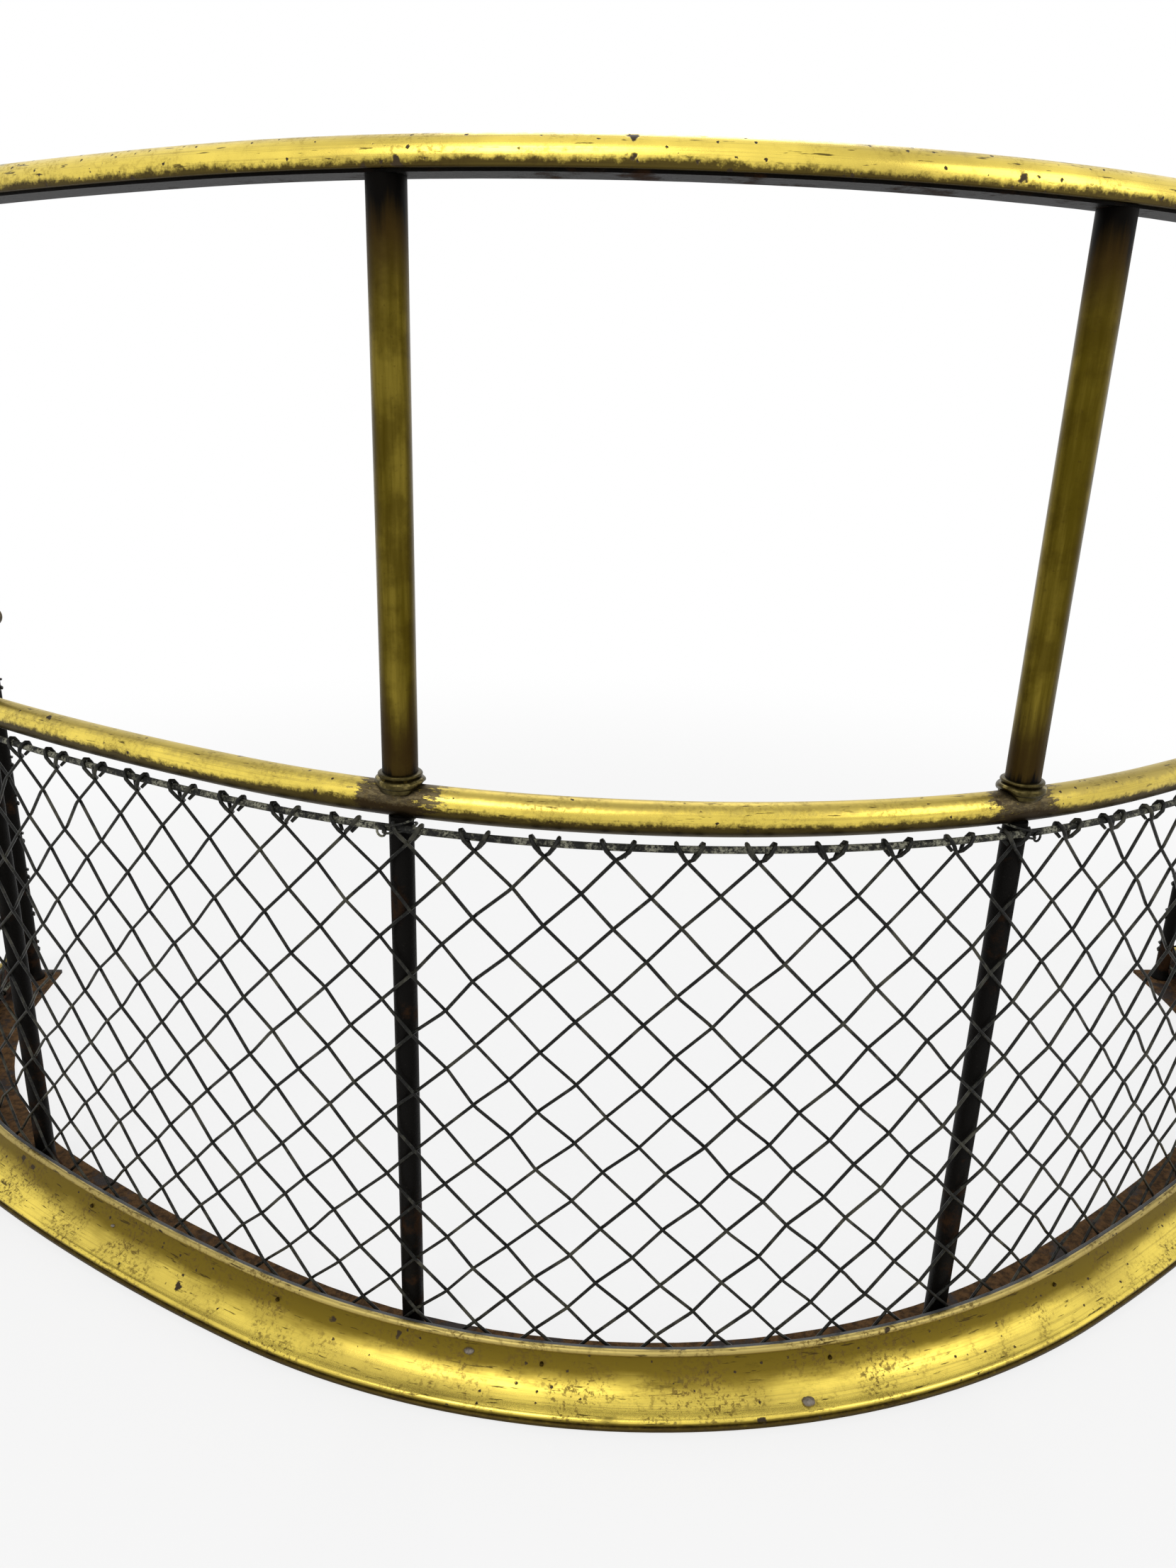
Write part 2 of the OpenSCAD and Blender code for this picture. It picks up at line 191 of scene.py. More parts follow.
# ---- Kerb ----
# An iron angle that stands on the floor plate, with its foot turned outwards under the
# moulding. It follows the whole plan, and its blue-grey top edge shows behind the brass.

FRONT_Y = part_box("base_moulding")[0][1] + 32 * MM  # the rail line at the middle of the front
BOW_R = 400 * MM
FLANK_R = 1160 * MM
CORNER_R = 250 * MM
BOW_ANGLE = math.radians(29)
FLANK_ANGLE = math.radians(9)
CORNER_ANGLE = math.radians(52)
RETURN_LEN = 38 * MM


def arc_end(start, radius, heading, angle):
    """Where an arc of the plan ends that starts with a heading and turns through an angle."""
    turned = heading + angle
    return Vector(
        (
            start[0] + radius * (math.sin(turned) - math.sin(heading)),
            start[1] + radius * (math.cos(heading) - math.cos(turned)),
            0.0,
        )
    )


def arc_centre(start, radius, heading):
    return Vector((start[0] - radius * math.sin(heading), start[1] + radius * math.cos(heading), 0.0))


# Right half of the plan: start, radius, heading, angle and number of steps of each arc
PLAN = []
corner = Vector((0.0, FRONT_Y, 0.0))
heading = 0.0
for radius, angle, steps in (
    (BOW_R, BOW_ANGLE, 24),
    (FLANK_R, FLANK_ANGLE, 14),
    (CORNER_R, CORNER_ANGLE, 34),
):
    PLAN.append((corner, radius, heading, angle, steps))
    corner = arc_end(corner, radius, heading, angle)
    heading += angle
PLAN_END = corner
HALF_LEN = BOW_R * BOW_ANGLE + FLANK_R * FLANK_ANGLE + CORNER_R * CORNER_ANGLE + RETURN_LEN


def plan_point(s, offset, z):
    """The point at s along the plan, offset outwards from the rail line, at height z."""
    side = -1.0 if s < 0 else 1.0
    left = abs(s)
    for start, radius, heading, angle, _ in PLAN:
        if left <= radius * angle:
            turned = heading + left / radius
            on_line = arc_end(start, radius, heading, left / radius)
            break
        left -= radius * angle
    else:
        turned = math.pi / 2
        on_line = PLAN_END + Vector((0.0, left, 0.0))
    x = on_line[0] + offset * math.sin(turned)
    return Vector((side * x, on_line[1] - offset * math.cos(turned), z))


def plan_place(point):
    """The reverse: how far along the plan a point is, and how far outside the rail line."""
    x, y = abs(point[0]), point[1]
    side = -1.0 if point[0] < 0 else 1.0
    passed = 0.0
    for start, radius, heading, angle, _ in PLAN:
        centre = arc_centre(start, radius, heading)
        turned = math.atan2(x - centre[0], centre[1] - y)
        if heading - 1e-6 <= turned <= heading + angle or (heading == 0.0 and turned < 0):
            away = math.hypot(x - centre[0], y - centre[1])
            return side * (passed + radius * (turned - heading)), away - radius
        passed += radius * angle
    return side * (passed + y - PLAN_END[1]), x - PLAN_END[0]


def sweep(name, section):
    """Draws a closed section (offset outwards, height, in mm) once round the whole plan."""
    bpy.ops.object.select_all(action="DESELECT")
    bpy.ops.mesh.primitive_circle_add(vertices=len(section), radius=0.01)
    piece = bpy.context.object
    piece.name = name
    for corner, (offset, z) in zip(piece.data.vertices, section):
        corner.co = (0.0, FRONT_Y - offset * MM, z * MM)
    bpy.ops.object.mode_set(mode="EDIT")
    bpy.ops.mesh.select_all(action="SELECT")
    for start, radius, heading, angle, steps in PLAN:
        centre = arc_centre(start, radius, heading)
        bpy.ops.mesh.spin(steps=steps, angle=-angle, center=centre, axis=(0, 0, 1))
    bpy.ops.mesh.extrude_region_move(TRANSFORM_OT_translate={"value": (0, RETURN_LEN, 0)})
    bpy.ops.mesh.edge_face_add()
    bpy.ops.object.mode_set(mode="OBJECT")
    mirror = piece.modifiers.new("other_half", "MIRROR")
    mirror.merge_threshold = 1e-5
    bpy.ops.object.modifier_apply(modifier=mirror.name)
    close_up(piece)
    return piece


def close_up(piece, angle=35):
    """Faces outwards, smooth but for its sharp edges, each point knowing its place."""
    bpy.ops.object.select_all(action="DESELECT")
    piece.select_set(True)
    bpy.context.view_layer.objects.active = piece
    bpy.ops.object.mode_set(mode="EDIT")
    bpy.ops.mesh.select_all(action="SELECT")
    bpy.ops.mesh.remove_doubles(threshold=1e-6)
    bpy.ops.mesh.normals_make_consistent(inside=False)
    bpy.ops.object.mode_set(mode="OBJECT")
    bpy.ops.object.shade_smooth_by_angle(angle=math.radians(angle))
    know_place(piece)


def know_place(piece):
    """Stores (along the plan, outwards, up) on each point, for the finishes that follow the rails."""
    place = piece.data.attributes.new("place", "FLOAT_VECTOR", "POINT")
    for corner, stored in zip(piece.data.vertices, place.data):
        along, outwards = plan_place(corner.co)
        stored.vector = (along, outwards, corner.co[2])


def fit(piece, finish, slot, *nodes):
    """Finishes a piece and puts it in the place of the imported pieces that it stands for."""
    piece.data.materials.clear()
    piece.data.materials.append(finish)
    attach(piece, "root")
    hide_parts(*nodes)


KERB = [(8.4, 2.5), (22.0, 2.5), (22.0, 4.1), (21.6, 4.5), (10.4, 4.5)]
KERB += [(10.4, 24.3), (10.1, 24.6), (8.7, 24.6), (8.4, 24.3)]


def kerb_iron():
    """Blue-grey iron, rubbed along its edge and rusty lower down."""
    finish, tree, shader = new_finish("kerb_iron", 0.35)
    place = object_place(tree)
    height = add_node(tree, "ShaderNodeSeparateXYZ", {"Vector": place}).outputs["Z"]
    mottle = noise(tree, place, 300.0, 7.0, 0.7)
    edge = between(tree, both(tree, height, both(tree, mottle, 4 * MM), "ADD"), 24 * MM, 26.5 * MM)
    rust = blend_colour(tree, between(tree, mottle, 0.4, 0.62), (0.016, 0.010, 0.007), (0.10, 0.042, 0.018))
    tree.links.new(blend_colour(tree, edge, rust, (0.060, 0.062, 0.062)), shader.inputs["Base Color"])
    tree.links.new(blend_value(tree, edge, 0.85, 0.5), shader.inputs["Roughness"])
    roughen(tree, shader, mottle, 0.3 * MM)
    return finish


fit(sweep("kerb", KERB), kerb_iron(), "dark_iron", "base_kerb")

# ---- Base moulding ----
# A strip of sheet brass drawn through a die: a bead at the top, a wide hollow, a small roll
# and a square fillet at the floor. Brass pins hold it to the kerb. The flare keeps the bright
# brass; the hollow above it and the band under the roll are painted olive, as painted shade for
# the dark surroundings they reflect, and the bead is khaki.


def arc(cx, cz, r, start, end, steps):
    """Points of a section along an arc, from one angle to another, in degrees."""
    turns = [math.radians(start + (end - start) * k / steps) for k in range(steps + 1)]
    return [(cx + r * math.cos(t), cz + r * math.sin(t)) for t in turns]


COVE_X = 34.3
COVE_Z = 29.0
COVE_R = 23.5
SHEET = 1.2
BEAD_X = 12.02
BEAD_Z = 24.4
BEAD_R = 1.6
MOULDING = arc(BEAD_X, BEAD_Z, BEAD_R, 180, -100, 14)
MOULDING += arc(COVE_X, COVE_Z, COVE_R, 195.8, 258.4, 22)
MOULDING += arc(29.6, 4.175, 1.8, 88, 0, 6)
MOULDING += [(30.9, 4.0), (30.9, 2.6), (31.7, 2.4), (32.0, 2.1), (32.0, 0.8), (31.7, 0.5), (29.6, 0.5)]
MOULDING += arc(COVE_X, COVE_Z, COVE_R + SHEET, 259.2, 195.0, 10)
# Splashes of solder: how far along, how far outwards, and their radius
NODULES = ((-96.0, 13.5, 1.9), (50.0, 26.5, 2.4), (-300.0, 16.0, 1.0), (402.0, 22.0, 1.7))

POST_COUNT = 6
END_TO_POST = 12
POST_PITCH = (HALF_LEN - END_TO_POST * MM) * 2 / (POST_COUNT - 1)


def rail_place(tree):
    """The place of a point along, outside and above the plan line."""
    return add_node(tree, "ShaderNodeAttribute", attribute_name="place").outputs["Vector"]


def parts_of(tree, place):
    made = add_node(tree, "ShaderNodeSeparateXYZ", {"Vector": place})
    return made.outputs["X"], made.outputs["Y"], made.outputs["Z"]


def spots(tree, place, scale, size, share):
    """Scattered pits: 1 in a spot. The share is how much of the cells have one."""
    bent = add_node(tree, "ShaderNodeVectorMath", operation="ADD")
    wobble = add_node(tree, "ShaderNodeTexNoise", {"Vector": place, "Scale": scale * 3.0, "Detail": 4.0})
    small = add_node(tree, "ShaderNodeVectorMath", operation="SCALE")
    tree.links.new(wobble.outputs["Color"], small.inputs[0])
    small.inputs["Scale"].default_value = 0.5 / scale
    tree.links.new(place, bent.inputs[0])
    tree.links.new(small.outputs["Vector"], bent.inputs[1])
    cells = add_node(tree, "ShaderNodeTexVoronoi", {"Vector": bent.outputs["Vector"], "Scale": scale})
    inside = between(tree, cells.outputs["Distance"], size, size * 0.6)
    chance = add_node(tree, "ShaderNodeSeparateColor", {"Color": cells.outputs["Color"]}).outputs["Red"]
    return both(tree, inside, between(tree, chance, 1.0 - share, 1.0 - share + 0.02))


BRIGHT_BRASS = (0.94, 0.73, 0.130)
OLD_GOLD = (0.34, 0.25, 0.055)
OLIVE_BRASS = (0.165, 0.116, 0.014)
KHAKI_BRASS = (0.370, 0.290, 0.110)


def brass_layers(tree, shader, place, tarnish_and_shade, grime_and_shade, dull, pitted, dirty):
    """Brass from polished to tarnished to grimy, with painted shade laid into the same two layers, and
    scratches along it, dirt, stains and pits.
    """
    clouds = noise(tree, place, 38.0, 5.0)
    slow = noise(tree, stretched(tree, place, (7.0, 20.0, 20.0)), 1.0, 3.0)
    mottle = noise(tree, place, 520.0, 8.0, 0.7)
    lines = noise(tree, stretched(tree, place, (9.0, 1100.0, 1100.0)), 1.0, 6.0, 0.65)
    dashes = noise(tree, stretched(tree, place, (85.0, 700.0, 700.0)), 1.0, 3.0)
    deeper = tuple(0.80 * c for c in BRIGHT_BRASS)
    gold = blend_colour(tree, between(tree, clouds, 0.3, 0.7), BRIGHT_BRASS, deeper)
    gold = blend_colour(tree, both(tree, between(tree, slow, 0.45, 0.65), 0.45), gold, OLD_GOLD)
    gold = blend_colour(tree, both(tree, between(tree, lines, 0.50, 0.66), 0.45), gold, OLD_GOLD)
    # The tarnished layer also carries painted shade and painted dim reflection, where the caller puts them.
    colour = blend_colour(tree, tarnish_and_shade, gold, dull)
    speckle = both(tree, between(tree, mottle, 0.48, 0.60), between(tree, clouds, 0.40, 0.62))
    colour = blend_colour(tree, both(tree, speckle, dirty), colour, (0.120, 0.078, 0.020))
    scratched = both(tree, between(tree, dashes, 0.63, 0.69), 0.85)
    colour = blend_colour(tree, scratched, colour, (0.050, 0.033, 0.010))
    # The darkest layer is dirt and painted shade together: a near-black brown.
    colour = blend_colour(tree, grime_and_shade, colour, (0.028, 0.017, 0.007))
    large_pits = spots(tree, place, 95.0, 0.20, 0.16 * pitted)
    small_pits = spots(tree, place, 330.0, 0.26, 0.12 * pitted)
    pits = both(tree, large_pits, small_pits, "MAXIMUM")
    colour = blend_colour(tree, pits, colour, (0.050, 0.036, 0.022))
    tree.links.new(colour, shader.inputs["Base Color"])
    worn = both(tree, both(tree, tarnish_and_shade, grime_and_shade, "MAXIMUM"), both(tree, pits, speckle, "MAXIMUM"), "MAXIMUM")
    uneven = both(tree, blend_value(tree, worn, 0.20, 0.44), both(tree, mottle, 0.12), "ADD")
    tree.links.new(uneven, shader.inputs["Roughness"])
    relief = both(tree, both(tree, mottle, 0.25), both(tree, lines, 0.18), "ADD")
    relief = both(tree, relief, both(tree, pits, both(tree, speckle, 0.3 * dirty), "MAXIMUM"), "SUBTRACT")
    roughen(tree, shader, relief, 0.10 * MM)


def moulding_brass():
    finish, tree, shader = new_finish("moulding_brass", 1.0)
    place = rail_place(tree)
    height = parts_of(tree, place)[2]
    drift = both(tree, noise(tree, stretched(tree, place, (16.0, 60.0, 60.0)), 1.0, 5.0), 0.5, "SUBTRACT")
    level = both(tree, height, both(tree, drift, 12 * MM), "ADD")
    below_bead = between(tree, height, 23.4 * MM, 22.4 * MM)
    # Painted shade: the hollow is painted olive for the dark surroundings it reflects.
    hollow_shade = both(tree, between(tree, level, 7.2 * MM, 15.5 * MM), below_bead)
    on_bead = both(tree, between(tree, height, 22.6 * MM, 23.4 * MM), 0.85)
    # Painted shade: the band under the roll is painted olive.
    roll_shade = both(tree, between(tree, height, 5.2 * MM, 4.4 * MM), 0.9)
    tarnish_and_shade = both(tree, both(tree, hollow_shade, on_bead, "MAXIMUM"), roll_shade, "MAXIMUM")
    stains = noise(tree, stretched(tree, place, (26.0, 90.0, 90.0)), 1.0, 6.0, 0.7)
    stained = both(tree, between(tree, stains, 0.62, 0.76), 0.7)
    ragged = both(tree, noise(tree, place, 240.0, 8.0, 0.75), 2.6 * MM)
    foot = both(tree, between(tree, both(tree, height, ragged, "ADD"), 5.0 * MM, 3.6 * MM), 0.85)
    grime_and_shade = both(tree, stained, foot, "MAXIMUM")
    dull = blend_colour(tree, between(tree, height, 22.6 * MM, 23.4 * MM), OLIVE_BRASS, KHAKI_BRASS)
    brass_layers(tree, shader, place, tarnish_and_shade, grime_and_shade, dull, 0.9, 0.85)
    return finish


MOULDING_BRASS = moulding_brass()
fit(sweep("base_moulding_strip", MOULDING), MOULDING_BRASS, "bright_brass", "base_moulding")
finish_node("moulding_pins", MOULDING_BRASS)


def solder_lead():
    """Grey lead solder, dull and lumpy."""
    finish, tree, shader = new_finish("solder_lead", 0.6)
    place = object_place(tree)
    lumps = noise(tree, place, 800.0, 5.0)
    tree.links.new(
        blend_colour(tree, lumps, (0.07, 0.055, 0.04), (0.34, 0.30, 0.25)), shader.inputs["Base Color"]
    )
    shader.inputs["Roughness"].default_value = 0.55
    roughen(tree, shader, lumps, 0.5 * MM)
    return finish


SOLDER_LEAD = solder_lead()


def nodule(name, s, offset, radius):
    """A splash of solder that has set on the hollow of the moulding."""
    rise = math.sqrt(COVE_R**2 - (COVE_X - offset) ** 2)
    at = plan_point(s * MM, offset * MM, (COVE_Z - rise) * MM)
    bpy.ops.object.select_all(action="DESELECT")
    bpy.ops.mesh.primitive_uv_sphere_add(segments=18, ring_count=10, radius=radius * MM)
    piece = bpy.context.object
    piece.name = name
    lumpy = random.Random(round(abs(s)))
    for corner in piece.data.vertices:
        corner.co *= 1.0 + lumpy.uniform(-0.10, 0.10)
        corner.co = Vector((corner.co[0] * 1.25, corner.co[1], corner.co[2] * 0.7)) + at
    bpy.ops.object.shade_smooth()
    return piece


for number, (s, offset, radius) in enumerate(NODULES, 1):
    blob = nodule(f"solder_nodule_{number}", s, offset, radius)
    blob.data.materials.append(SOLDER_LEAD)
    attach(blob, "root")

# ---- Stanchions ----
# Six round iron bars, each in one piece from the floor plate to the top bar: riveted at the
# foot, 10 mm thick up to the mid rail, and thinner above it, inside the brass post.


def lathe(name, outline, steps=40):
    """Turns an outline (radius, height, in mm) round the upright axis through the origin."""
    bpy.ops.object.select_all(action="DESELECT")
    bpy.ops.mesh.primitive_circle_add(vertices=len(outline) + 1, radius=0.01)
    piece = bpy.context.object
    piece.name = name
    bpy.ops.object.mode_set(mode="EDIT")
    bpy.ops.mesh.select_mode(type="VERT")
    bpy.ops.mesh.select_all(action="DESELECT")
    bpy.ops.object.mode_set(mode="OBJECT")
    piece.data.vertices[len(outline)].select = True
    bpy.ops.object.mode_set(mode="EDIT")
    bpy.ops.mesh.delete(type="VERT")
    bpy.ops.object.mode_set(mode="OBJECT")
    for corner, (radius, z) in zip(piece.data.vertices, outline):
        corner.co = (radius * MM, 0.0, z * MM)
    bpy.ops.object.mode_set(mode="EDIT")
    bpy.ops.mesh.select_all(action="SELECT")
    bpy.ops.mesh.spin(steps=steps, angle=2 * math.pi, center=(0, 0, 0), axis=(0, 0, 1))
    bpy.ops.mesh.select_all(action="SELECT")
    bpy.ops.mesh.remove_doubles(threshold=1e-6)
    bpy.ops.object.mode_set(mode="OBJECT")
    return piece


def post_s(number):
    return (number - (POST_COUNT + 1) / 2) * POST_PITCH


def stand_up(pattern, name, number, angle=35):
    """A copy of a turned piece, with a mesh of its own, at one of the posts."""
    s = post_s(number)
    ahead = plan_point(s + MM, 0.0, 0.0) - plan_point(s - MM, 0.0, 0.0)
    turn = Matrix.Rotation(math.atan2(ahead[1], ahead[0]), 4, "Z")
    piece = pattern.copy()
    piece.data = pattern.data.copy()
    piece.name = name
    bpy.context.scene.collection.objects.link(piece)
    piece.data.transform(Matrix.Translation(plan_point(s, 0.0, 0.0)) @ turn)
    close_up(piece, angle)
    return piece


BAR_R = 5.0
THIN_R = 3.5
TENON_R = 3.0
STANCHION = [(0.0, 0.2), (THIN_R, 0.2), (THIN_R, 2.5)]
STANCHION += [(7.2, 2.5), (7.2, 3.6), (6.7, 4.6), (5.6, 7.0), (5.1, 9.6)]
STANCHION += [(BAR_R, z) for z in (14.0, 60.0, 110.0, 160.0, 210.0, 268.0)]
STANCHION += [(4.9, 268.4), (THIN_R, 268.6), (THIN_R, 493.9)]
STANCHION += [(TENON_R, 494.0), (TENON_R, 498.4), (4.4, 498.5), (2.7, 500.0), (0.0, 500.1)]
bar = lathe("stanchion", STANCHION, 32)
for number in range(1, POST_COUNT + 1):
    fit(stand_up(bar, f"iron_stanchion_{number}", number), BLACK_IRON, "dark_iron", f"stanchion_{number}")
bpy.data.objects.remove(bar)

# ---- Mid rail ----
# A thin brass tube drawn over a round iron core. Its front keeps the bright brass, its crown is
# painted duller as a painted dim reflection and its lower side painted brown as painted shade,
# and round each post the brass has never been polished.

MID_RAIL_Z = 275.0
MID_RAIL_R = 6.9


def rail_brass(name, low, high, patch, pitted):
    """Rail brass: painted shade, brown below the low level, and a painted dim reflection, khaki above the
    high one, with a patch at each post.
    """
    finish, tree, shader = new_finish(name, 1.0)
    place = rail_place(tree)
    along, _, height = parts_of(tree, place)
    ragged = both(tree, noise(tree, place, 300.0, 8.0, 0.75), 0.5, "SUBTRACT")
    slow = both(tree, noise(tree, stretched(tree, place, (12.0, 40.0, 40.0)), 1.0, 4.0), 0.5, "SUBTRACT")
    drift = both(tree, both(tree, ragged, 7 * MM), both(tree, slow, 5 * MM), "ADD")
    level = both(tree, height, drift, "ADD")
    # Painted shade: below the low level the rail is painted dark brown.
    grime_and_shade = both(tree, between(tree, level, (low + 1.5) * MM, (low - 1.2) * MM), 0.94)
    # Painted dim reflection: above the high level the top of the rail is painted khaki.
    crown = both(tree, between(tree, level, (high - 2.2) * MM, (high + 0.2) * MM), 0.55)
    swing = both(tree, along, POST_PITCH / 2, "PINGPONG")
    from_post = both(tree, POST_PITCH / 2, swing, "SUBTRACT")
    waver = both(tree, noise(tree, place, 70.0, 3.0), 0.5, "SUBTRACT")
    near = between(tree, both(tree, from_post, both(tree, waver, 24 * MM), "ADD"), 27 * MM, 5 * MM)
    flecks = noise(tree, stretched(tree, place, (150.0, 520.0, 520.0)), 1.0, 8.0, 0.8)
    torn = both(tree, both(tree, flecks, 0.5, "SUBTRACT"), 3.6)
    joint = both(tree, between(tree, both(tree, torn, near, "ADD"), 0.36, 0.66), patch)
    tarnish_and_shade = both(tree, joint, crown, "MAXIMUM")
    flecked = between(tree, flecks, 0.46, 0.60)
    brown = blend_colour(tree, flecked, (0.062, 0.048, 0.028), (0.150, 0.118, 0.060))
    dull = blend_colour(tree, joint, (0.280, 0.215, 0.070), brown)
    brass_layers(tree, shader, place, tarnish_and_shade, grime_and_shade, dull, pitted, 0.35)
    return finish


fit(
    sweep("mid_rail_tube", arc(0.0, MID_RAIL_Z, MID_RAIL_R, 270, -77, 27)),
    rail_brass("mid_rail_brass", 275.0, 280.6, 1.0, 0.8),
    "bright_brass",
    "mid_rail_casing",
)
finish_node("mid_rail_core", BLACK_IRON)

# ---- Posts ----
# Brass tube slipped over the iron bar, with its brazed seam down one side, between a cast
# ring saddled on the mid rail and the top bar. Both of its ends are darker, near black at the
# very ends and brown beyond, and the whole tube is painted a dark olive, as painted shade for
# the dark room it reflects.

SLEEVE_R = 7.0
SLEEVE_FOOT = 281.4
SLEEVE_TOP = 493.9
SLEEVE = [(5.9, SLEEVE_FOOT), (SLEEVE_R, SLEEVE_FOOT)]
SLEEVE += [(SLEEVE_R, z) for z in (290.0, 330.0, 370.0, 410.0, 450.0, 480.0)]
SLEEVE += [(SLEEVE_R, SLEEVE_TOP), (6.0, SLEEVE_TOP), (6.0, 300.0)]
SEAM = math.radians(-52)
SEAM_HALF_WIDTH = math.radians(3.9)
SEAM_SCALE = 0.975


def post_brass():
    finish, tree, shader = new_finish("post_brass", 1.0)
    place = rail_place(tree)
    height = parts_of(tree, place)[2]
    streaks = noise(tree, stretched(tree, place, (190.0, 190.0, 12.0)), 1.0, 6.0, 0.6)
    clouds = noise(tree, place, 60.0, 5.0)
    mottle = noise(tree, place, 600.0, 7.0, 0.7)
    streaked = between(tree, streaks, 0.35, 0.75)
    # Painted shade: the whole tube is a dark olive, far darker than the rails, for the dark room it reflects;
    # the streaks along it vary that tone.
    colour = blend_colour(tree, streaked, (0.080, 0.057, 0.0045), (0.215, 0.160, 0.022))
    clouded = both(tree, between(tree, clouds, 0.42, 0.66), 0.6)
    colour = blend_colour(tree, clouded, colour, (0.050, 0.033, 0.003))
    speckled = both(tree, between(tree, mottle, 0.58, 0.7), 0.5)
    colour = blend_colour(tree, speckled, colour, (0.05, 0.032, 0.006))
    drift = both(tree, both(tree, streaks, 0.5, "SUBTRACT"), 30 * MM)
    level = both(tree, height, drift, "ADD")
    # Darker towards both ends: brown, then near black at the very ends.
    brown_top = between(tree, level, 445 * MM, 480 * MM)
    brown_foot = between(tree, level, 326 * MM, 298 * MM)
    black_top = between(tree, level, 474 * MM, 488 * MM)
    black_foot = between(tree, level, 290 * MM, 284 * MM)
    blackened_ends = both(tree, black_top, black_foot, "MAXIMUM")
    brown = both(tree, brown_top, brown_foot, "MAXIMUM")
    colour = blend_colour(tree, both(tree, brown, 0.85), colour, (0.030, 0.016, 0.006))
    colour = blend_colour(tree, blackened_ends, colour, (0.0045, 0.004, 0.0035))
    tree.links.new(colour, shader.inputs["Base Color"])
    darkened_ends = both(tree, brown, blackened_ends, "MAXIMUM")
    tree.links.new(blend_value(tree, darkened_ends, 0.30, 0.55), shader.inputs["Roughness"])
    roughen(tree, shader, both(tree, mottle, streaks, "ADD"), 0.06 * MM)
    return finish


POST_BRASS = post_brass()
sleeve = lathe("sleeve", SLEEVE + SLEEVE[:1], 48)
for corner in sleeve.data.vertices:
    turned = math.atan2(corner.co[1], corner.co[0])
    if abs(turned - SEAM) < SEAM_HALF_WIDTH and corner.co.xy.length > 6.5 * MM:
        corner.co.xy *= SEAM_SCALE
for number in range(1, POST_COUNT + 1):
    tube = stand_up(sleeve, f"post_tube_{number}", number, 50)
    fit(tube, POST_BRASS, "aged_brass", f"post_sleeve_{number}")
bpy.data.objects.remove(sleeve)

COLLAR_FOOT = 279.2
COLLAR_TOP = 286.7
COLLAR_H = 7.5
COLLAR_BORE = 7.05
COLLAR = [(COLLAR_BORE, 279.4), (8.3, COLLAR_FOOT), (8.75, 280.2)]
COLLAR += arc(8.3, 282.6, 1.7, -72, 72, 12)
COLLAR += [(8.0, 284.6)]
COLLAR += arc(7.95, 285.7, 0.85, -60, 90, 6)
COLLAR += [(COLLAR_BORE, COLLAR_TOP)]


def collar_brass():
    finish, tree, shader = new_finish("collar_brass", 1.0)
    place = rail_place(tree)
    mottle = noise(tree, place, 420.0, 7.0, 0.7)
    clouds = noise(tree, place, 110.0, 5.0)
    height = parts_of(tree, place)[2]
    above_ring = between(tree, height, 281.6 * MM, 283.2 * MM)
    below_lip = between(tree, height, 285.2 * MM, 284.4 * MM)
    # Painted highlight, partly rubbed wear: the bulge of the ring is painted pale brass in patches.
    rubbed = both(tree, above_ring, below_lip)
    rubbed = both(tree, rubbed, between(tree, clouds, 0.50, 0.64))
    mottled = between(tree, mottle, 0.38, 0.66)
    colour = blend_colour(tree, mottled, (0.040, 0.031, 0.010), (0.080, 0.063, 0.023))
    colour = blend_colour(tree, rubbed, colour, (0.30, 0.24, 0.085))
    tree.links.new(colour, shader.inputs["Base Color"])
    tree.links.new(blend_value(tree, rubbed, 0.36, 0.24), shader.inputs["Roughness"])
    roughen(tree, shader, clouds, 0.05 * MM)
    return finish


COLLAR_BRASS = collar_brass()
collar = lathe("collar", COLLAR + COLLAR[:1], 48)
for corner in collar.data.vertices:
    sideways = abs(corner.co[1]) / MM
    saddle = MID_RAIL_Z + math.sqrt(max(MID_RAIL_R**2 - sideways**2, 0.0)) + 0.02
    low = max(0.0, (COLLAR_TOP - corner.co[2] / MM) / COLLAR_H)
    lift = max(saddle, COLLAR_FOOT) - COLLAR_FOOT
    corner.co[2] += lift * low**1.5 * MM
for number in range(1, POST_COUNT + 1):
    ring = stand_up(collar, f"collar_ring_{number}", number, 60)
    fit(ring, COLLAR_BRASS, "aged_brass", f"post_collar_{number}")
bpy.data.objects.remove(collar)

# ---- Top rail ----
# Half-oval brass capping, with its lips turned in over a flat iron bar. The tenons of the
# stanchions are riveted over inside it. It is the brightest brass, with scattered dark pits.

CAP_Z = 495.0
LIP = 1.2
CAPPING = [(8.1, CAP_Z), (8.5, CAP_Z + 0.4)]
CAPPING += arc(0.0, 497.486, 8.514, -3.2, 183.2, 28)
CAPPING += [(-8.5, CAP_Z + 0.4), (-8.1, CAP_Z), (-6.05, CAP_Z), (-6.05, CAP_Z + LIP), (-7.3, CAP_Z + LIP)]
CAPPING += arc(0.0, 497.463, 7.337, 174.2, 5.8, 14)
CAPPING += [(7.3, CAP_Z + LIP), (6.05, CAP_Z + LIP), (6.05, CAP_Z)]
# Painted shade along its lower edge, dark brown, and a painted dim reflection on its crown, khaki.
TOP_BRASS = rail_brass("top_rail_brass", 497.3, 506.6, 0.0, 2.2)
fit(sweep("top_rail_cap", CAPPING), TOP_BRASS, "bright_brass", "top_rail_capping")
finish_node("top_rail_bar", BLACK_IRON)
finish_node("top_rail_end_caps", TOP_BRASS)
finish_node("mid_rail_end_caps", TOP_BRASS)

# ---- Mesh rods ----
# Two 3 mm iron rods in front of the stanchions, one under the mid rail and one behind the
# moulding. The wire is looped over the top one and fixed there with dabs of grey solder.

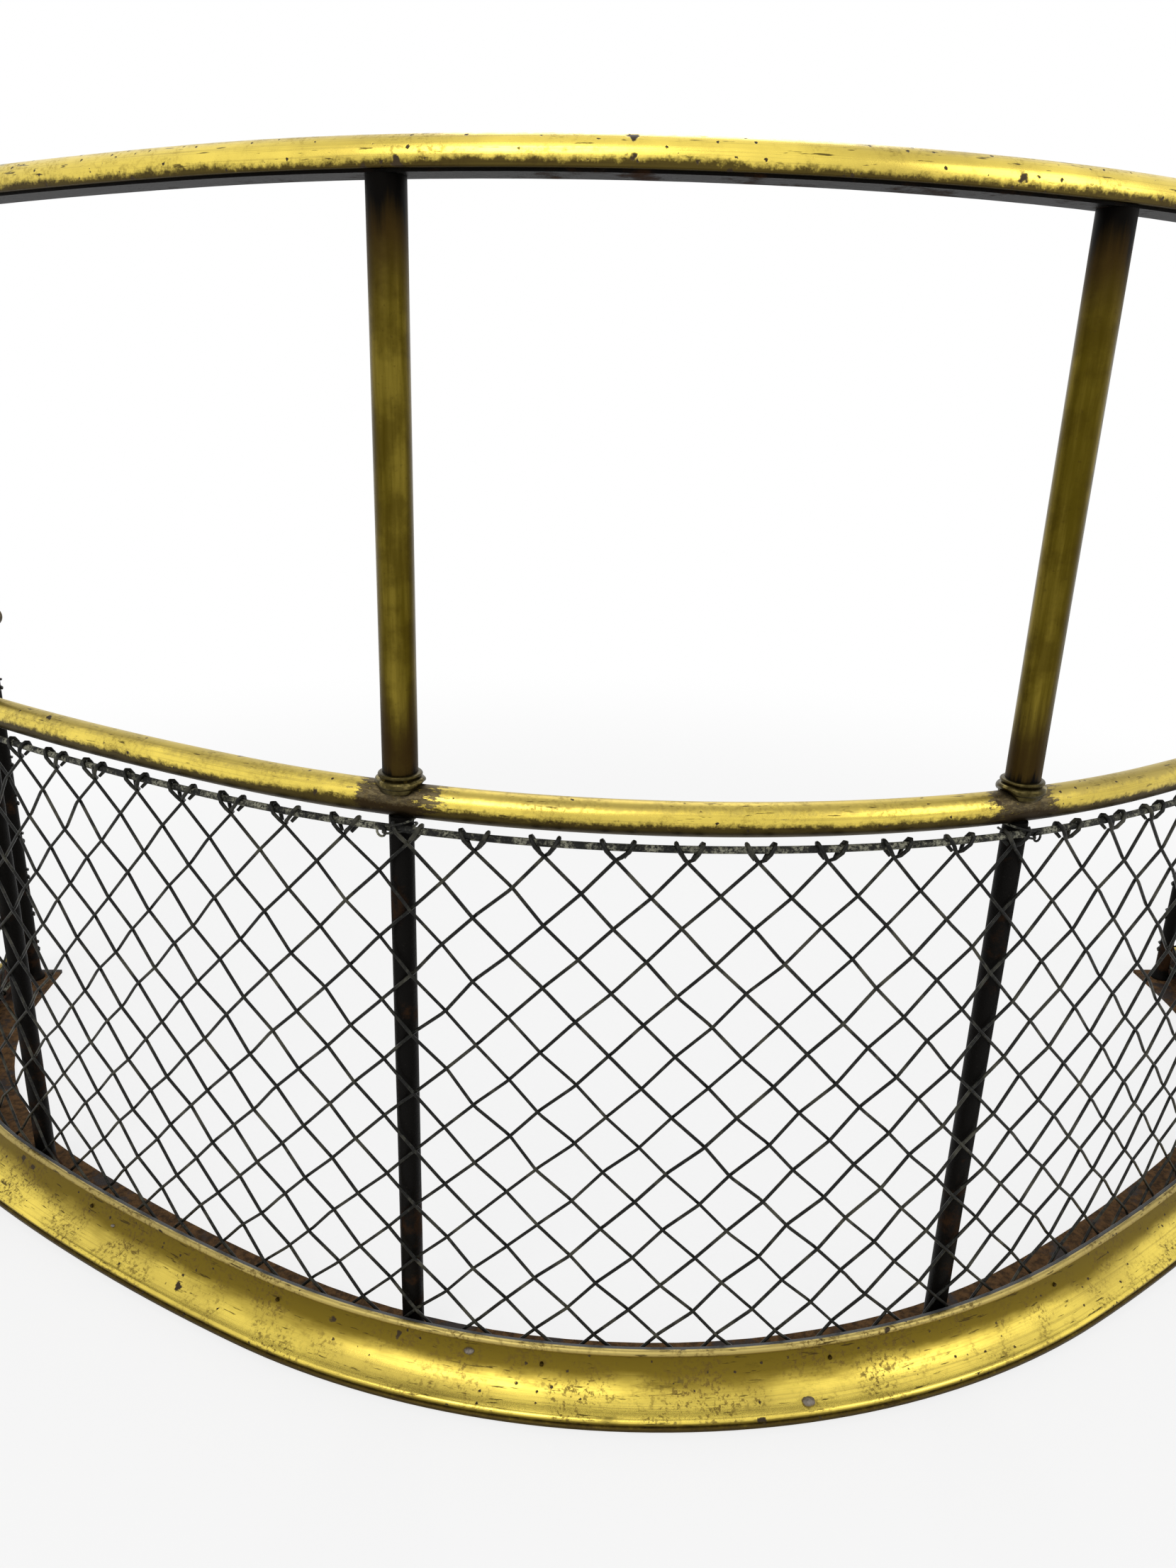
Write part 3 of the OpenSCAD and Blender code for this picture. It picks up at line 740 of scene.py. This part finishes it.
MESH_OFFSET = 6.6
ROD_R = 1.5
TOP_ROD_Z = 265.0
BOTTOM_ROD_Z = 11.0
COLUMNS = 47
MESH_HALF = HALF_LEN / MM - END_TO_POST
COLUMN_W = 2 * MESH_HALF / COLUMNS


def rod_iron():
    """Black iron with dabs of grey solder and dust."""
    finish, tree, shader = new_finish("rod_iron", 0.0)
    shader.inputs["Specular IOR Level"].default_value = 0.2
    place = object_place(tree)
    grain = noise(tree, place, 900.0, 6.0, 0.7)
    patch = between(tree, noise(tree, place, 130.0, 6.0, 0.7), 0.44, 0.60)
    grey = between(tree, grain, 0.5, 0.7)
    colour = blend_colour(tree, grey, (0.006, 0.006, 0.005), (0.045, 0.046, 0.034))
    solder = both(tree, patch, between(tree, grain, 0.40, 0.56))
    colour = blend_colour(tree, solder, colour, (0.26, 0.255, 0.19))
    tree.links.new(colour, shader.inputs["Base Color"])
    shader.inputs["Roughness"].default_value = 0.6
    roughen(tree, shader, grain, 0.3 * MM)
    return finish


ROD_IRON = rod_iron()
for name, z in (("top", TOP_ROD_Z), ("bottom", BOTTOM_ROD_Z)):
    rod = sweep(f"wire_rod_{name}", arc(MESH_OFFSET, z, ROD_R, 0, -324, 9))
    for corner in rod.data.vertices:
        along = plan_place(corner.co)[0]
        if abs(along) > HALF_LEN - 8 * MM:
            corner.co[1] -= 7 * MM
    fit(rod, ROD_IRON, "black_wire", f"mesh_{name}_rod")

# ---- Woven wire ----
# One panel of 1.5 mm iron wire, woven over and under in diamonds 27 mm wide and 29 mm high.
# Each wire is bent at every crossing and hooked over the top rod, with its end tucked behind
# its own leg. At the ends of the panel the wires are bent round the last stanchion.

WIRE_R = 0.75
APEX_Z = 259.5
ROWS = 8
LAST_ROW_Z = 29.0
STEP_Z = (APEX_Z - LAST_ROW_Z) / ROWS / 2
STEP_S = COLUMN_W / 2
WEAVE = 0.84
CRIMP = 1.9
WANDER = 0.7
HOOK_REACH = 5.6
HOOK_THICKNESS = 1.2
CLEAR_OF_POST = 6.5


def crossing(column, level):
    """Where two wires cross: the column counts half meshes along, the level counts them down."""
    uneven = random.Random(column * 97 + level * 1009)
    wander = 0.0 if level == 0 else WANDER
    s = -MESH_HALF + column * STEP_S + uneven.uniform(-wander, wander)
    z = APEX_Z - level * STEP_Z + uneven.uniform(-wander, wander)
    return s, z


def hook_points(s, lean, reach):
    """From the end of a wire, tucked behind its own leg, over the top rod and down to the apex."""
    around = MESH_OFFSET
    points = [
        (s + lean * (reach - 3.6), around - 0.9, TOP_ROD_Z - 4.6),
        (s + lean * (reach - 1.9), around - 2.2, TOP_ROD_Z - 2.4),
        (s + lean * (reach - 0.7), around - 2.4, TOP_ROD_Z + 0.2),
        (s + lean * reach, around - 1.4, TOP_ROD_Z + 2.0),
        (s + lean * (reach + 0.2), around + 0.3, TOP_ROD_Z + 2.5),
        (s + lean * (reach - 0.4), around + 1.8, TOP_ROD_Z + 1.5),
        (s + lean * (reach - 1.8), around + 2.4, TOP_ROD_Z - 0.9),
        (s + lean * 1.6, around + 1.6, APEX_Z + 1.9),
    ]
    from_post = min(abs(s + lean * reach - post_s(number) / MM) for number in range(1, POST_COUNT + 1))
    return points if from_post > CLEAR_OF_POST else points[4:]


def foot_points(s, lean, z_last):
    """From the last crossing down behind the bottom rod and under it."""
    around = MESH_OFFSET
    return [
        (s + lean * 2.4, around - 2.0, z_last - 2.4),
        (s + lean * 3.4, around - 2.3, BOTTOM_ROD_Z - 0.4),
        (s + lean * 3.8, around - 1.2, BOTTOM_ROD_Z - 2.1),
        (s + lean * 4.0, around + 0.4, BOTTOM_ROD_Z - 2.3),
    ]


def edge_points(side, z, drop):
    """Round the last stanchion, from its front to its back."""
    turns = [(math.cos(t), math.sin(t)) for t in (math.radians(a) for a in (62, 35, 5, -25, -55, -85))]
    reach = BAR_R + WIRE_R + 0.1
    return [
        (side * (MESH_HALF + reach * c), reach * q, z + drop * k)
        for k, (c, q) in enumerate(turns)
    ]


def one_wire(first, lean):
    """A wire from the top row's crossing number first, leaning to the right or left as it drops."""
    last_column = 2 * COLUMNS
    levels = [m for m in range(2 * ROWS + 2) if 0 <= 2 * first + lean * m <= last_column]
    points = []
    for m in levels:
        s, z = crossing(2 * first + lean * m, m)
        over = WEAVE * lean * (-1) ** m
        run = CRIMP * STEP_S / math.hypot(STEP_S, STEP_Z)
        fall = CRIMP * STEP_Z / math.hypot(STEP_S, STEP_Z)
        points += [
            (s - lean * run, MESH_OFFSET + 0.80 * over, z + fall),
            (s, MESH_OFFSET + over, z),
            (s + lean * run, MESH_OFFSET + 0.80 * over, z - fall),
        ]
    if levels[0] == 0:
        s = crossing(2 * first, 0)[0]
        reach = HOOK_REACH + random.Random(first * 7 + lean).uniform(-0.7, 0.7)
        points = hook_points(s, -lean, reach) + points[1:]
    else:
        start = edge_points(-lean, points[1][2] + 1.5, 0.35)
        points = start[::-1] + points[2:]
    if levels[-1] == 2 * ROWS + 1:
        s, z = crossing(2 * first + lean * levels[-1], levels[-1])
        points = points[:-1] + foot_points(s, lean, z)
    else:
        points = points[:-2] + edge_points(lean, points[-2][2] - 1.5, -0.35)
    return points


def bend_wires(name, runs, radius, resolution, thick_above=math.inf):
    """Round wires through runs of points (along, outwards, up, in mm), as one mesh."""
    bpy.ops.object.select_all(action="DESELECT")
    lines = bpy.data.curves.new(name, "CURVE")
    lines.dimensions = "3D"
    lines.bevel_depth = radius * MM
    lines.bevel_resolution = resolution
    lines.use_fill_caps = True
    for points in runs:
        line = lines.splines.new("POLY")
        line.points.add(len(points) - 1)
        for knot, (s, offset, z) in zip(line.points, points):
            knot.co = (*plan_point(s * MM, offset * MM, z * MM), 1.0)
            knot.radius = HOOK_THICKNESS if z > thick_above else 1.0
    wires = bpy.data.objects.new(name, lines)
    bpy.context.scene.collection.objects.link(wires)
    wires.select_set(True)
    bpy.context.view_layer.objects.active = wires
    bpy.ops.object.convert(target="MESH")
    bpy.ops.object.shade_smooth_by_angle(angle=math.radians(70))
    return bpy.context.object


def wire_lay(name, lean):
    """All the wires that lean one way, as one mesh."""
    starts = range(-ROWS, COLUMNS) if lean > 0 else range(1, COLUMNS + 1 + ROWS)
    return bend_wires(name, [one_wire(first, lean) for first in starts], WIRE_R, 1, APEX_Z + 1.0)


def wire_iron():
    """Black wire, rubbed to a dull olive grey in patches."""
    finish, tree, shader = new_finish("wire_iron", 0.0)
    shader.inputs["Specular IOR Level"].default_value = 0.15
    place = object_place(tree)
    grain = noise(tree, place, 500.0, 6.0, 0.7)
    worn = between(tree, noise(tree, place, 75.0, 5.0), 0.5, 0.68)
    grey = between(tree, grain, 0.48, 0.7)
    colour = blend_colour(tree, grey, (0.006, 0.006, 0.005), (0.036, 0.036, 0.027))
    colour = blend_colour(tree, both(tree, worn, 0.5), colour, (0.11, 0.105, 0.075))
    tree.links.new(colour, shader.inputs["Base Color"])
    shader.inputs["Roughness"].default_value = 0.42
    roughen(tree, shader, grain, 0.12 * MM)
    return finish


WIRE_IRON = wire_iron()
for name, lean, node in (("left", 1, "mesh_left_lay"), ("right", -1, "mesh_right_lay")):
    fit(wire_lay(f"woven_wires_{name}", lean), WIRE_IRON, "black_wire", node)

# ---- Wire ties ----
# A turn and a half of thin iron wire binds the top rod to each stanchion. Its end is left
# curled at one side.

TIE_R = 0.5


def tie_points(s, side):
    """Once and a half round the rod and the stanchion, then a small curl."""
    middle = 1.4
    points = []
    turns = 34
    for k in range(turns + 1):
        t = math.radians(-60 + 560 * k / turns)
        c, q = math.cos(t), math.sin(t)
        wide = 6.1 * abs(c) ** 0.8 * (1 if c > 0 else -1)
        deep = 7.6 * abs(q) ** 0.8 * (1 if q > 0 else -1)
        points.append((s + side * wide, middle + deep, TOP_ROD_Z - 2.6 + 5.0 * k / turns + 0.30 * wide))
    tail = points[-1]
    for k in range(1, 15):
        t = math.radians(26 * k)
        r = 2.7 - 0.06 * k
        curl = side * r * math.sin(t) * 0.9
        points.append((tail[0] - curl, tail[1] + 0.15 * k, tail[2] - r * (1 - math.cos(t))))
    return points


for number in range(1, POST_COUNT + 1):
    points = tie_points(post_s(number) / MM, 1 if number % 2 else -1)
    tie = bend_wires(f"wire_tie_{number}", [points], TIE_R, 2)
    if number == 1:
        fit(tie, ROD_IRON, "black_wire", "rod_ties")
    else:
        fit(tie, ROD_IRON, "black_wire")

# ---- Studio ----
# A pale floor that fades into white, a white surround and three soft lamps. The camera stands
# close in front of the bow, between the heights of its two rails, and looks down.


def white_to_the_eye(tree):
    """1 for the camera and for what metal reflects, 0 for the light that falls on things."""
    rays = add_node(tree, "ShaderNodeLightPath")
    seen = both(tree, rays.outputs["Is Camera Ray"], rays.outputs["Is Glossy Ray"], "MAXIMUM")
    return both(tree, seen, rays.outputs["Is Transmission Ray"], "MAXIMUM")


bpy.ops.object.select_all(action="DESELECT")
bpy.ops.mesh.primitive_plane_add(size=12.0)
floor = bpy.context.object
floor.name = "floor"
pale = bpy.data.materials.new("pale_floor")
pale.use_nodes = True
tree = pale.node_tree
tree.nodes.remove(tree.nodes["Principled BSDF"])
far = add_node(tree, "ShaderNodeVectorMath", operation="LENGTH")
tree.links.new(object_place(tree), far.inputs[0])
faded = blend_value(tree, between(tree, far.outputs["Value"], 0.55, 1.3), 0.72, 1.0)
matt = add_node(tree, "ShaderNodeBsdfDiffuse", {"Color": (0.86, 0.86, 0.86, 1.0)})
glow = add_node(tree, "ShaderNodeEmission", {"Color": (1.0, 1.0, 1.0, 1.0), "Strength": 1.0})
amount = both(tree, white_to_the_eye(tree), faded)
surface = add_node(tree, "ShaderNodeMixShader")
tree.links.new(amount, surface.inputs[0])
tree.links.new(matt.outputs[0], surface.inputs[1])
tree.links.new(glow.outputs[0], surface.inputs[2])
tree.links.new(surface.outputs[0], tree.nodes["Material Output"].inputs["Surface"])
floor.data.materials.append(pale)

world = bpy.data.worlds.new("studio")
bpy.context.scene.world = world
world.use_nodes = True
tree = world.node_tree
strength = blend_value(tree, white_to_the_eye(tree), 0.55, 1.0)
tree.links.new(strength, tree.nodes["Background"].inputs["Strength"])
tree.nodes["Background"].inputs["Color"].default_value = (1.0, 1.0, 1.0, 1.0)

for name, at, width, power in (
    ("key_lamp", (-0.9, -1.7, 2.2), 1.3, 20.0),
    ("fill_lamp", (1.5, -1.2, 1.5), 1.0, 8.0),
    ("back_lamp", (0.2, 1.7, 2.0), 1.2, 10.0),
):
    light = bpy.data.lights.new(name, "AREA")
    light.size = width
    light.energy = power
    lamp = bpy.data.objects.new(name, light)
    bpy.context.scene.collection.objects.link(lamp)
    lamp.location = at
    lamp.rotation_euler = (Vector((0.0, -0.1, 0.25)) - Vector(at)).to_track_quat("-Z", "Y").to_euler()

camera_data = bpy.data.cameras.new("camera")
camera_data.lens = 25.39
camera_data.sensor_width = 36.0
camera_data.clip_start = 0.02
camera = bpy.data.objects.new("camera", camera_data)
bpy.context.scene.collection.objects.link(camera)
yaw, pitch, roll = -0.0692, -0.3268, -0.0333
aim = Matrix.Rotation(yaw, 4, "Z") @ Matrix.Rotation(pitch, 4, "X") @ Matrix.Rotation(roll, 4, "Y")
stand = Matrix.Translation((-0.08033, -0.57243, 0.42300))
camera.matrix_world = stand @ aim @ Matrix.Rotation(math.radians(90), 4, "X")
bpy.context.scene.camera = camera

bpy.context.scene.view_settings.view_transform = "Standard"
